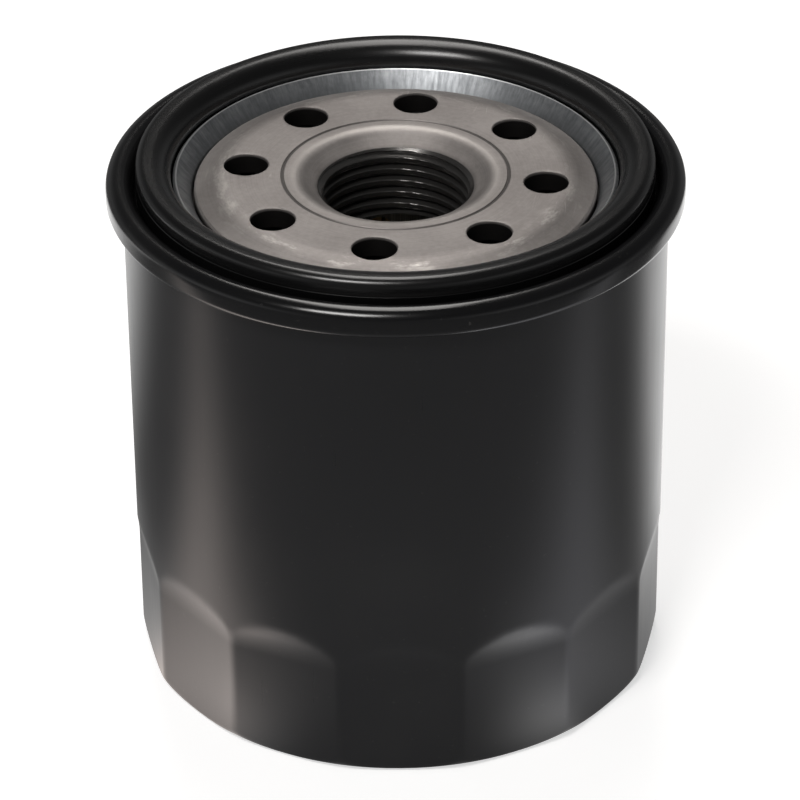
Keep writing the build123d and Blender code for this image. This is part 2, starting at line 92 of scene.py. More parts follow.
# ---------------------------------------------------------------- shader nodes
class Graph:
    """The node tree of one material, or of the world."""

    def __init__(self, name: str, world: bpy.types.World | None = None) -> None:
        """Make an empty material, or empty a world.

        Args:
            name: The material's name.
            world: The world whose tree is filled, if it isn't a material's.
        """
        self.material = world or bpy.data.materials.new(name)
        self.material.use_nodes = True
        self.tree = self.material.node_tree
        self.tree.nodes.clear()

    def add(self, kind: str, settings: dict[str, Any] | None = None, sockets: dict[Any, Any] | None = None) -> Any:
        """Add a node, set it up, then fill its sockets.

        Args:
            kind: The node's type, without its "ShaderNode" prefix.
            settings: The node's own properties; "stops" holds a ramp's positions and colours.
            sockets: Values or signals, by the input's name or number.

        Returns:
            The node.
        """
        made = self.tree.nodes.new("ShaderNode" + kind)
        for key, value in (settings or {}).items():
            if key == "stops":
                ramp = made.color_ramp.elements
                while len(ramp) > 1:
                    ramp.remove(ramp[-1])
                ramp[0].position, ramp[0].color = value[0]
                for position, colour in value[1:]:
                    ramp.new(position).color = colour
            else:
                setattr(made, key, value)
        for key, value in (sockets or {}).items():
            if isinstance(value, Signal):
                self.tree.links.new(value.socket, made.inputs[key])
            else:
                made.inputs[key].default_value = value
        return made

    def signal(self, kind: str, settings: dict[str, Any] | None = None, sockets: dict[Any, Any] | None = None,
               output: Any = 0) -> "Signal":
        """Add a node and take one of its outputs.

        Args:
            kind: The node's type, as in add.
            settings: As in add.
            sockets: As in add.
            output: The output's name or number.

        Returns:
            The output as a signal.
        """
        return Signal(self, self.add(kind, settings, sockets).outputs[output])

    def mix(self, factor: "Signal | float", first: Any, second: Any) -> "Signal":
        """Mix two colours.

        Args:
            factor: 0 gives the first colour and 1 the second.
            first: A colour or a signal.
            second: A colour or a signal.

        Returns:
            The mixed colour.
        """
        settings = {"data_type": "RGBA"}
        return self.signal("Mix", settings, {"Factor": factor, 6: first, 7: second}, output=2)

    def place(self, scale: tuple[float, float, float] = (1.0, 1.0, 1.0)) -> "Signal":
        """Object coordinates, scaled.

        Args:
            scale: Factors along X, Y and Z, per metre.

        Returns:
            The vector.
        """
        where = self.signal("TexCoord", output="Object")
        return self.signal("Mapping", None, {"Vector": where, "Scale": scale})

    def polar(self) -> "tuple[Signal, Signal, Signal]":
        """Polar coordinates about the filter's axis.

        Returns:
            The radius and the height, both in millimetres, and the angle in radians.
        """
        parts = self.add("SeparateXYZ", None, {0: self.signal("TexCoord", output="Object")})
        x, y, z = (Signal(self, socket) / MM for socket in parts.outputs)
        radius = (x * x + y * y) ** 0.5
        return radius, z, self.signal("Math", {"operation": "ARCTAN2"}, {0: y, 1: x})

    def noise(self, where: "Signal", scale: float, detail: float = 3.0, roughness: float = 0.55) -> "Signal":
        """Noise about 0.5.

        Args:
            where: The vector that it is read at.
            scale: Its frequency.
            detail: Octaves.
            roughness: How strong the fine octaves are.

        Returns:
            The noise's value.
        """
        return self.signal("TexNoise", None, {
            "Vector": where, "Scale": scale, "Detail": detail, "Roughness": roughness})

    def vector(self, x: "Signal | float", y: "Signal | float", z: "Signal | float") -> "Signal":
        """Join three numbers into a vector."""
        return self.signal("CombineXYZ", None, {0: x, 1: y, 2: z})

    def bump(self, height: "Signal", depth: float, strength: float = 1.0) -> "Signal":
        """A normal bent by a height.

        Args:
            height: The height signal, about 0 to 1.
            depth: What a height of 1 stands for, in millimetres.
            strength: Share of the effect.

        Returns:
            The normal.
        """
        return self.signal("Bump", None, {"Height": height, "Distance": depth * MM, "Strength": strength})

    def finish(self, **sockets: Any) -> bpy.types.Material:
        """Close the tree with a Principled shader.

        Args:
            **sockets: The shader's inputs, with "_" for a blank.

        Returns:
            The material.
        """
        named = {key.replace("_", " "): value for key, value in sockets.items()}
        shader = self.signal("BsdfPrincipled", None, named)
        self.add("OutputMaterial", None, {"Surface": shader})
        return self.material


class Signal:
    """A shader socket that arithmetic works on."""

    def __init__(self, graph: Graph, socket: Any) -> None:
        """Wrap an output socket of a graph."""
        self.graph = graph
        self.socket = socket

    def _math(self, operation: str, first: Any, second: Any = 0.0, clamp: bool = False) -> "Signal":
        """Add a Math node and return its output."""
        return self.graph.signal("Math", {"operation": operation, "use_clamp": clamp}, {0: first, 1: second})

    def __add__(self, other: Any) -> "Signal":
        """Sum."""
        return self._math("ADD", self, other)

    def __radd__(self, other: Any) -> "Signal":
        """Sum, reflected."""
        return self._math("ADD", other, self)

    def __sub__(self, other: Any) -> "Signal":
        """Difference."""
        return self._math("SUBTRACT", self, other)

    def __rsub__(self, other: Any) -> "Signal":
        """Difference, reflected."""
        return self._math("SUBTRACT", other, self)

    def __mul__(self, other: Any) -> "Signal":
        """Product."""
        return self._math("MULTIPLY", self, other)

    def __rmul__(self, other: Any) -> "Signal":
        """Product, reflected."""
        return self._math("MULTIPLY", other, self)

    def __truediv__(self, other: Any) -> "Signal":
        """Quotient."""
        return self._math("DIVIDE", self, other)

    def __rtruediv__(self, other: Any) -> "Signal":
        """Quotient, reflected."""
        return self._math("DIVIDE", other, self)

    def __pow__(self, other: Any) -> "Signal":
        """Power."""
        return self._math("POWER", self, other)

    def __rpow__(self, other: Any) -> "Signal":
        """Power, reflected."""
        return self._math("POWER", other, self)

    def size(self) -> "Signal":
        """Absolute value."""
        return self._math("ABSOLUTE", self)

    def clamped(self) -> "Signal":
        """Kept within 0 and 1."""
        return self._math("ADD", self, 0.0, clamp=True)

    def rising(self, low: float, high: float) -> "Signal":
        """A smooth step.

        Args:
            low: Where it is 0.
            high: Where it is 1.

        Returns:
            The step.
        """
        sockets = {"Value": self, "From Min": low, "From Max": high}
        return self.graph.signal("MapRange", {"interpolation_type": "SMOOTHSTEP"}, sockets)

    def hump(self, middle: float, width: float) -> "Signal":
        """A bell that is 1 at middle and falls to 1/e at width from it."""
        offset = (self - middle) / width
        return math.e ** (0.0 - offset * offset)


# ---------------------------------------------------------------- finishes
def grey(value: float) -> Colour:
    """A neutral colour."""
    return (value, value, value, 1.0)


@dataclass(frozen=True)
class SatinBlackPaint:
    """Baked black paint over drawn steel: a soft sheen, fine orange peel, faint draw marks and specks of dust."""

    colour: Colour = (0.0085, 0.0085, 0.0095, 1.0)
    dusty: Colour = (0.030, 0.029, 0.028, 1.0)
    sheen_roughness: float = 0.30
    grain: Grain = Grain.UPRIGHT

    def material(self, name: str) -> bpy.types.Material:
        """Build the material under a name."""
        graph = Graph(name)
        colour, roughness, normal = self.layers(graph)
        return graph.finish(Base_Color=colour, Roughness=roughness, Normal=normal, IOR=1.5)

    def layers(self, graph: Graph) -> tuple[Signal, Signal, Signal]:
        """The paint's colour, roughness and normal.

        Args:
            graph: The tree that they are made in.

        Returns:
            The three signals.
        """
        radius, height, angle = graph.polar()
        if self.grain is Grain.UPRIGHT:
            along = graph.vector(angle * 60.0, height * 0.05, 0.0)
        else:
            along = graph.vector(angle * 2.0, radius * 3.0, height * 3.0)
        draw = graph.noise(along, 1.0, detail=4.0)
        peel = graph.noise(graph.place((900.0, 900.0, 900.0)), 1.0, detail=2.0)
        clouds = graph.noise(graph.place((55.0, 55.0, 55.0)), 1.0, detail=4.0)
        specks = graph.noise(graph.place((1500.0, 1500.0, 1500.0)), 1.0, detail=1.0).rising(0.72, 0.8)
        film = (clouds.rising(0.45, 0.75) * 0.10 + specks * 0.5).clamped()
        colour = graph.mix(film, self.colour, self.dusty)
        roughness = self.sheen_roughness + (clouds - 0.5) * 0.10 + (draw - 0.5) * 0.06
        return colour, roughness, graph.bump(peel * 0.7 + draw * 0.3, 0.012, 0.35)


@dataclass(frozen=True)
class ZincSheet:
    """Electro-plated lid sheet: blue-grey, streaked where it was stretched over the lip."""

    dark: Colour = (0.17, 0.18, 0.19, 1.0)
    light: Colour = (0.40, 0.415, 0.43, 1.0)
    # bright is the painted highlight on the sheared edge; foot and rim give the heights of the painted shade and of
    # that highlight
    bright: Colour = (0.86, 0.87, 0.88, 1.0)
    foot: Point = (64.0, 65.7)
    rim: Point = (66.02, 66.12)

    def layers(self, graph: Graph) -> tuple[Signal, Signal, Signal]:
        """The sheet's colour, roughness and normal."""
        radius, height, angle = graph.polar()
        drawn = graph.vector(angle * 45.0, radius * 0.25, height * 0.25)
        streaks = graph.noise(drawn, 1.0, detail=5.0, roughness=0.7)
        patches = graph.noise(graph.vector(angle * 3.0, radius * 0.3, height * 0.3), 1.0, detail=3.0)
        grains = graph.noise(graph.place((1800.0, 1800.0, 1800.0)), 1.0, detail=2.0)
        tone = (streaks * 0.55 + patches * 0.30 + grains * 0.15).rising(0.33, 0.68)
        colour = graph.mix(tone, self.dark, self.light)
        # painted shade down where the lip bends out of the groove, and a painted highlight: the sheared edge, bare
        # steel, is painted near-white
        colour = graph.mix((1.0 - height.rising(*self.foot)) * 0.65, colour, self.dark)
        colour = graph.mix(height.rising(*self.rim) * 0.9, colour, self.bright)
        roughness = 0.46 - (streaks - 0.5) * 0.25 + (grains - 0.5) * 0.1
        return colour, roughness, graph.bump(streaks * 0.6 + grains * 0.4, 0.02, 0.5)


@dataclass(frozen=True)
class LidFinish:
    """The lid's two finishes: black paint on the seam and its groove, bare zinc on the lip."""

    paint: SatinBlackPaint = field(default_factory=lambda: SatinBlackPaint(
        colour=(0.004, 0.004, 0.0045, 1.0), sheen_roughness=0.20, grain=Grain.ROUND))
    zinc: ZincSheet = field(default_factory=ZincSheet)
    paint_edge: float = 31.2

    def material(self) -> bpy.types.Material:
        """Build the material."""
        graph = Graph("lid_paint_and_zinc")
        radius, _, angle = graph.polar()
        ragged = graph.noise(graph.vector(angle * 12.0, 0.0, 0.0), 1.0) * 0.5
        painted = (radius + ragged).rising(self.paint_edge, self.paint_edge + 0.3)
        shaders = []
        for layer, metallic in ((self.zinc, 0.9), (self.paint, 0.0)):
            colour, roughness, normal = layer.layers(graph)
            sockets = {"Base Color": colour, "Roughness": roughness, "Normal": normal,
                       "Metallic": metallic, "IOR": 1.5}
            shaders.append(graph.signal("BsdfPrincipled", None, sockets))
        both = graph.signal("MixShader", None, {0: painted, 1: shaders[0], 2: shaders[1]})
        graph.add("OutputMaterial", None, {"Surface": both})
        return graph.material


@dataclass(frozen=True)
class PlateSteel:
    """Bare pressed steel: warm matt grey with oil haze and fine scratches; painted highlights on the rubbed
    shoulder and on the mouth's crest; painted shade beneath, in the groove and in the inlet holes.
    """

    dark: Colour = (0.265, 0.245, 0.235, 1.0)
    light: Colour = (0.385, 0.36, 0.347, 1.0)
    burnish_and_highlight: Colour = (0.62, 0.59, 0.56, 1.0)
    oily: Colour = (0.10, 0.098, 0.095, 1.0)
    shade: Colour = (0.010, 0.009, 0.009, 1.0)
    shoulder: float = 21.4
    flat_end: float = 21.3
    mouth: float = 12.0
    groove: float = 13.69
    bore: float = 9.50
    top: float = 65.7

    def material(self) -> bpy.types.Material:
        """Build the material."""
        graph = Graph("base_plate_steel")
        radius, height, angle = graph.polar()
        clouds = graph.noise(graph.place((110.0, 110.0, 110.0)), 1.0, detail=6.0, roughness=0.6)
        grains = graph.noise(graph.place((1600.0, 1600.0, 1600.0)), 1.0, detail=2.0)
        turning = graph.noise(graph.vector(radius * 6.0, angle * 0.6, height * 6.0), 1.0, detail=3.0)
        scratches = self.scratches(graph)
        around = graph.vector(angle * 5.0, radius * 0.6, height * 0.6)
        rubbed = graph.noise(around, 1.0, detail=5.0, roughness=0.7)
        # painted highlight along the shoulder's ridge, patchy where it is rubbed, and a fainter one on the mouth's
        # crest
        ridge_wear_and_highlight = radius.hump(self.shoulder, 1.2) * rubbed.rising(0.50, 0.70) + radius.hump(self.mouth, 0.7) * 0.35
        inside = 1.0 - radius.rising(self.bore - 0.06, self.bore + 0.04)
        # painted shade beneath the top, and a painted shadow line in the groove
        below = 1.0 - height.rising(self.top - 2.2, self.top - 1.2)
        groove = radius.hump(self.groove, 0.17) * height.rising(self.top - 0.5, self.top - 0.3)
        # painted shade: the walls of the inlet holes, all that lies below the flat part's surface, are painted near
        # black
        flat_part = radius.rising(self.groove + 0.3, self.groove + 0.4)
        flat_part = flat_part * (1.0 - radius.rising(self.flat_end, self.flat_end + 0.1))
        punched = flat_part * (1.0 - height.rising(self.top - 0.45, self.top - 0.2))
        below = (below + punched).clamped()
        tone = (clouds * 0.6 + grains * 0.2 + turning * 0.2).rising(0.30, 0.70)
        colour = graph.mix(tone, self.dark, self.light)
        scratch_wear_and_highlight = (ridge_wear_and_highlight * 0.8 + scratches * 0.4).clamped()
        colour = graph.mix(scratch_wear_and_highlight, colour, self.burnish_and_highlight)
        colour = graph.mix(inside * 0.9, colour, self.oily)
        # painted shade: near black beneath the top, in the inlet holes and in the groove, but not in the bore
        colour = graph.mix(below * (1.0 - inside) * 0.95 + groove * 0.8, colour, self.shade)
        roughness = 0.55 - scratch_wear_and_highlight * 0.22 - inside * 0.30 + (clouds - 0.5) * 0.10
        relief = grains * 0.5 + turning * 0.25 + clouds * 0.25 - scratches * 0.6
        return graph.finish(Base_Color=colour, Roughness=roughness, Metallic=0.85,
                            Normal=graph.bump(relief, 0.02, 0.6))

    def scratches(self, graph: Graph) -> Signal:
        """Hairline scratches, as thin lines of two stretched noises."""
        total: Signal | float = 0.0
        for turn, scale in ((0.5, 260.0), (2.2, 330.0)):
            where = graph.signal("Mapping", None, {
                "Vector": graph.signal("TexCoord", output="Object"),
                "Rotation": (0.0, 0.0, turn), "Scale": (scale, scale * 0.05, scale)})
            line = (graph.noise(where, 1.0, detail=2.0) - 0.5).size()
            total = total + (1.0 - line.rising(0.0, 0.006))
        spread = graph.noise(graph.place((160.0, 160.0, 160.0)), 1.0).rising(0.55, 0.7)
        return (total * spread).clamped()


@dataclass(frozen=True)
class Rubber:
    """Moulded nitrile rubber: near-black, with a faint bloom and a fine moulded grain."""

    colour: Colour = (0.0035, 0.0035, 0.0037, 1.0)
    bloom: Colour = (0.014, 0.014, 0.0137, 1.0)
    roughness: float = 0.26

    def material(self, name: str) -> bpy.types.Material:
        """Build the material under a name."""
        graph = Graph(name)
        radius, height, angle = graph.polar()
        clouds = graph.noise(graph.place((80.0, 80.0, 80.0)), 1.0, detail=5.0)
        grain = graph.noise(graph.place((2600.0, 2600.0, 2600.0)), 1.0, detail=2.0)
        flow = graph.noise(graph.vector(angle * 3.0, radius * 2.5, height * 2.5), 1.0, detail=3.0)
        haze = (clouds.rising(0.5, 0.8) * 0.16 + grain.rising(0.7, 0.8) * 0.12).clamped()
        colour = graph.mix(haze, self.colour, self.bloom)
        roughness = self.roughness + (clouds - 0.5) * 0.12 + (flow - 0.5) * 0.08
        return graph.finish(Base_Color=colour, Roughness=roughness, IOR=1.52,
                            Normal=graph.bump(grain * 0.6 + flow * 0.4, 0.008, 0.5))


@dataclass(frozen=True)
class PressedSteel:
    """Thin pressed or tinned steel for the inner fittings."""

    dark: Colour = (0.28, 0.28, 0.275, 1.0)
    light: Colour = (0.55, 0.55, 0.54, 1.0)
    roughness: float = 0.34
    grain: Grain = Grain.ROUND

    def material(self, name: str) -> bpy.types.Material:
        """Build the material under a name."""
        graph = Graph(name)
        radius, height, angle = graph.polar()
        if self.grain is Grain.ROUND:
            lines = graph.vector(radius * 5.0, angle * 0.5, height * 5.0)
        else:
            lines = graph.vector(angle * 90.0, radius * 0.4, height * 0.1)
        brushed = graph.noise(lines, 1.0, detail=4.0)
        clouds = graph.noise(graph.place((140.0, 140.0, 140.0)), 1.0, detail=5.0)
        tone = (brushed * 0.5 + clouds * 0.5).rising(0.35, 0.65)
        colour = graph.mix(tone, self.dark, self.light)
        roughness = self.roughness + (clouds - 0.5) * 0.2 + (brushed - 0.5) * 0.1
        return graph.finish(Base_Color=colour, Roughness=roughness, Metallic=0.95,
                            Normal=graph.bump(brushed * 0.6 + clouds * 0.4, 0.012, 0.5))


@dataclass(frozen=True)
class SpringSteel:
    """Oil-tempered spring wire: dark blue-grey, with drawn lines and rubbed highs."""

    dark: Colour = (0.10, 0.105, 0.115, 1.0)
    light: Colour = (0.33, 0.33, 0.34, 1.0)

    def material(self) -> bpy.types.Material:
        """Build the material."""
        graph = Graph("spring_wire")
        clouds = graph.noise(graph.place((300.0, 300.0, 300.0)), 1.0, detail=5.0)
        fine = graph.noise(graph.place((2200.0, 2200.0, 600.0)), 1.0, detail=2.0)
        colour = graph.mix((clouds * 0.7 + fine * 0.3).rising(0.35, 0.65), self.dark, self.light)
        return graph.finish(Base_Color=colour, Roughness=0.38 + (clouds - 0.5) * 0.2, Metallic=0.9,
                            Normal=graph.bump(fine, 0.01, 0.4))


@dataclass(frozen=True)
class FilterPaper:
    """Resin-cured filter paper: tan fibres, a few darker flecks and a soft embossed grain."""

    light: Colour = (0.74, 0.55, 0.30, 1.0)
    dark: Colour = (0.52, 0.35, 0.16, 1.0)

    def material(self) -> bpy.types.Material:
        """Build the material."""
        graph = Graph("filter_paper")
        fibres = graph.noise(graph.place((1400.0, 1400.0, 420.0)), 1.0, detail=5.0, roughness=0.7)
        cross = graph.noise(graph.place((500.0, 500.0, 1700.0)), 1.0, detail=4.0, roughness=0.7)
        clouds = graph.noise(graph.place((70.0, 70.0, 70.0)), 1.0, detail=3.0)
        flecks = graph.noise(graph.place((2500.0, 2500.0, 2500.0)), 1.0, detail=1.0).rising(0.7, 0.78)
        tone = (fibres * 0.4 + cross * 0.3 + clouds * 0.3).rising(0.35, 0.65)
        colour = graph.mix((tone * 0.7 + flecks * 0.4).clamped(), self.light, self.dark)
        return graph.finish(Base_Color=colour, Roughness=0.86 + (fibres - 0.5) * 0.1,
                            Normal=graph.bump(fibres * 0.5 + cross * 0.5, 0.05, 0.6))


@dataclass(frozen=True)
class SetCompound:
    """Poured or painted compound that has set: slightly glossy, with trapped bubbles."""

    light: Colour = (0.56, 0.50, 0.40, 1.0)
    dark: Colour = (0.36, 0.31, 0.24, 1.0)

    def material(self, name: str) -> bpy.types.Material:
        """Build the material under a name."""
        graph = Graph(name)
        clouds = graph.noise(graph.place((150.0, 150.0, 150.0)), 1.0, detail=5.0)
        cells = graph.signal("TexVoronoi", {"feature": "F1"}, {
            "Vector": graph.place((900.0, 900.0, 900.0)), "Scale": 1.0}, output="Distance")
        bubbles = 1.0 - cells.rising(0.08, 0.2)
        colour = graph.mix((clouds.rising(0.35, 0.65) * 0.8 + bubbles * 0.5).clamped(), self.light, self.dark)
        return graph.finish(Base_Color=colour, Roughness=0.42 + (clouds - 0.5) * 0.2,
                            Normal=graph.bump(clouds * 0.6 - bubbles * 0.4, 0.05, 0.5))


# ---------------------------------------------------------------- outlines and turned shapes
class Outline:
    """A closed outline of radius and height, in millimetres, drawn with lines and arcs."""

    def __init__(self, radius: float, height: float) -> None:
        """Start at a point."""
        self.points: list[Point] = [(radius, height)]

    def to(self, radius: float, height: float, steps: int = 1) -> "Outline":
        """Draw a straight line.

        Args:
            radius: Its end's radius.
            height: Its end's height.
            steps: How many parts the line is cut into.

        Returns:
            The outline.
        """
        start = self.points[-1]
        for step in range(1, steps + 1):
            share = step / steps
            self.points.append((start[0] + (radius - start[0]) * share, start[1] + (height - start[1]) * share))
        return self

    def arc(self, centre: Point, radius: float, start: float, turn: float, step: float = 9.0) -> "Outline":
        """Draw an arc.

        Args:
            centre: Its centre.
            radius: Its radius.
            start: The angle where it starts, in degrees.
            turn: How far it turns, in degrees.
            step: The largest turn between two points.

        Returns:
            The outline.
        """
        count = max(2, math.ceil(abs(turn) / step))
        for index in range(count + 1):
            angle = math.radians(start + turn * index / count)
            point = (centre[0] + radius * math.cos(angle), centre[1] + radius * math.sin(angle))
            if math.dist(point, self.points[-1]) > 1e-4:
                self.points.append(point)
        return self

    def closed(self) -> list[Point]:
        """The points, without a last one that repeats the first."""
        if math.dist(self.points[0], self.points[-1]) < 1e-4:
            return self.points[:-1]
        return self.points


def add_object(name: str, mesh: bpy.types.Mesh, material: bpy.types.Material,
               sharp: float = 38.0) -> bpy.types.Object:
    """Put a mesh in the scene with smooth faces and one material.

    Args:
        name: The piece's name.
        mesh: Its mesh.
        material: Its finish.
        sharp: Edges that bend more than this stay sharp, in degrees.

    Returns:
        The object, at the origin.
    """
    mesh.name = name
    mesh.materials.clear()
    mesh.materials.append(material)
    mesh.polygons.foreach_set("material_index", [0] * len(mesh.polygons))
    mesh.polygons.foreach_set("use_smooth", [True] * len(mesh.polygons))
    mesh.set_sharp_from_angle(angle=math.radians(sharp))
    made = bpy.data.objects.new(name, mesh)
    bpy.context.scene.collection.objects.link(made)
    return made


def turn(points: list[Point], angles: list[float], shape: Callable[[float, float, float], Point] | None = None,
         ) -> bpy.types.Mesh:
    """Turn a closed outline about the filter's axis.

    Args:
        points: The outline; a run on the axis, if any, is its first and last point.
        angles: The angle of each column, in radians, rising through one turn.
        shape: Changes a point, from its angle, radius and height.

    Returns:
        A closed mesh with its normals outwards, in metres.
    """
    mesh = bpy.data.meshes.new("turned")
    work = bmesh.new()
    rows = []
    for radius, height in points:
        if radius < 1e-6:
            rows.append([work.verts.new((0.0, 0.0, height * MM))] * len(angles))
            continue
        row = []
        for angle in angles:
            r, z = shape(angle, radius, height) if shape else (radius, height)
            row.append(work.verts.new((r * MM * math.cos(angle), r * MM * math.sin(angle), z * MM)))
        rows.append(row)
    for row, following in zip(rows, rows[1:] + rows[:1]):
        for column in range(len(angles)):
            after = (column + 1) % len(angles)
            corners = [row[column], row[after], following[after], following[column]]
            unique = list(dict.fromkeys(corners))
            if len(unique) > 2:
                work.faces.new(unique)
    bmesh.ops.recalc_face_normals(work, faces=work.faces)
    work.to_mesh(mesh)
    work.free()
    return mesh


def even(columns: int) -> list[float]:
    """Evenly spaced angles through one turn."""
    return [2 * math.pi * column / columns for column in range(columns)]


def smooth_least(first: float, second: float, width: float) -> float:
    """The smaller of two numbers, with the change between them rounded over a width."""
    share = max(width - abs(first - second), 0.0) / width
    return min(first, second) - share * share * width / 4


def smooth_most(first: float, second: float, width: float) -> float:
    """The larger of two numbers, with the change between them rounded over a width."""
    return -smooth_least(-first, -second, width)


# ---------------------------------------------------------------- geometry nodes
class Tree:
    """A geometry node tree that turns one mesh into another."""

    def __init__(self, name: str, inputs: dict[str, tuple[str, Any]]) -> None:
        """Start a tree with named inputs.

        Args:
            name: The tree's name.
            inputs: For each input's name, its socket type and its value.
        """
        self.tree = bpy.data.node_groups.new(name, "GeometryNodeTree")
        self.values = {}
        face = self.tree.interface
        face.new_socket("Geometry", in_out="INPUT", socket_type="NodeSocketGeometry")
        for key, (kind, value) in inputs.items():
            socket = face.new_socket(key, in_out="INPUT", socket_type="NodeSocket" + kind)
            self.values[socket.identifier] = value
        face.new_socket("Geometry", in_out="OUTPUT", socket_type="NodeSocketGeometry")
        self.start = self.tree.nodes.new("NodeGroupInput")
        self.end = self.tree.nodes.new("NodeGroupOutput")

    def add(self, kind: str, settings: dict[str, Any] | None = None, sockets: dict[Any, Any] | None = None) -> Any:
        """Add a node.

        Args:
            kind: The node's whole type name.
            settings: Its own properties.
            sockets: Values, output sockets, or names of the tree's inputs given as "@name".

        Returns:
            The node.
        """
        made = self.tree.nodes.new(kind)
        for key, value in (settings or {}).items():
            setattr(made, key, value)
        for key, value in (sockets or {}).items():
            if isinstance(value, str) and value.startswith("@"):
                value = self.start.outputs[value[1:]]
            if isinstance(value, bpy.types.NodeSocket):
                self.tree.links.new(value, made.inputs[key])
            else:
                made.inputs[key].default_value = value
        return made

    def maths(self, operation: str, first: Any, second: Any = 0.0) -> Any:
        """Add a Math node and return its output."""
        return self.add("ShaderNodeMath", {"operation": operation}, {0: first, 1: second}).outputs[0]

    def close(self, geometry: Any, material: bpy.types.Material) -> None:
        """End the tree.

        Args:
            geometry: The socket that holds the shape.
            material: The finish of every face.
        """
        real = self.add("GeometryNodeRealizeInstances", None, {"Geometry": geometry})
        painted = self.add("GeometryNodeSetMaterial", None, {"Geometry": real.outputs[0], "Material": material})
        self.tree.links.new(painted.outputs[0], self.end.inputs[0])

    def grow(self, name: str, seed: bpy.types.Mesh, material: bpy.types.Material,
             sharp: float = 38.0) -> bpy.types.Object:
        """Run the tree on a mesh and keep the plain result.

        Args:
            name: The new piece's name.
            seed: The mesh that the tree starts from.
            material: The piece's finish.
            sharp: Edges that bend more than this stay sharp, in degrees.

        Returns:
            The piece.
        """
        carrier = bpy.data.objects.new(name + "_seed", seed)
        bpy.context.scene.collection.objects.link(carrier)
        modifier = carrier.modifiers.new("grow", "NODES")
        modifier.node_group = self.tree
        for identifier, value in self.values.items():
            modifier[identifier] = value
        graph = bpy.context.evaluated_depsgraph_get()
        mesh = bpy.data.meshes.new_from_object(carrier.evaluated_get(graph))
        bpy.data.objects.remove(carrier)
        return add_object(name, mesh, material, sharp)


def coil_spring(name: str, wire: float, radius: float, turns: float, low: float, high: float,
                material: bpy.types.Material) -> bpy.types.Object:
    """A coil spring whose pitch narrows towards both of its seats.

    Args:
        name: The piece's name.
        wire: The wire's diameter.
        radius: The coil's mean radius.
        turns: Its turns.
        low: Height of the lower seat.
        high: Height of the upper seat.
        material: Its finish.

    Returns:
        The spring.
    """
    tree = Tree("coil_spring", {
        "Turns": ("Float", turns), "Radius": ("Float", radius * MM), "Wire radius": ("Float", wire / 2 * MM),
        "Low": ("Float", low * MM), "High": ("Float", high * MM), "Rise": ("Float", (high - low - wire) * MM)})
    spiral = tree.add("GeometryNodeCurveSpiral", None, {
        "Resolution": 64, "Rotations": "@Turns", "Start Radius": "@Radius", "End Radius": "@Radius",
        "Height": "@Rise"})
    # the pitch is small at both ends and widest in the middle
    share = tree.add("GeometryNodeSplineParameter").outputs["Factor"]
    eased = tree.add("ShaderNodeMapRange", {"interpolation_type": "SMOOTHSTEP"}, {"Value": share}).outputs[0]
    blended = tree.maths("ADD", tree.maths("MULTIPLY", eased, 0.6), tree.maths("MULTIPLY", share, 0.4))
    lift = tree.maths("MULTIPLY", tree.maths("SUBTRACT", blended, share), "@Rise")
    centre = tree.maths("ADD", tree.maths("ADD", lift, "@Low"), "@Wire radius")
    offset = tree.add("ShaderNodeCombineXYZ", None, {2: centre}).outputs[0]
    wound = tree.add("GeometryNodeSetPosition", None, {"Geometry": spiral.outputs[0], "Offset": offset})
    section = tree.add("GeometryNodeCurvePrimitiveCircle", None, {"Resolution": 16, "Radius": "@Wire radius"})
    solid = tree.add("GeometryNodeCurveToMesh", None, {
        "Curve": wound.outputs[0], "Profile Curve": section.outputs[0], "Fill Caps": True})
    tree.close(solid.outputs[0], material)
    return tree.grow(name, bpy.data.meshes.new("seed"), material)


def dress_node(node: str, material: bpy.types.Material) -> bpy.types.Object:
    """Give a CAD node that keeps its shape a finish.

    Args:
        node: The node's name.
        material: Its finish.

    Returns:
        The node's object.
    """
    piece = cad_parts[node]
    piece.data.materials.clear()
    piece.data.materials.append(material)
    return piece


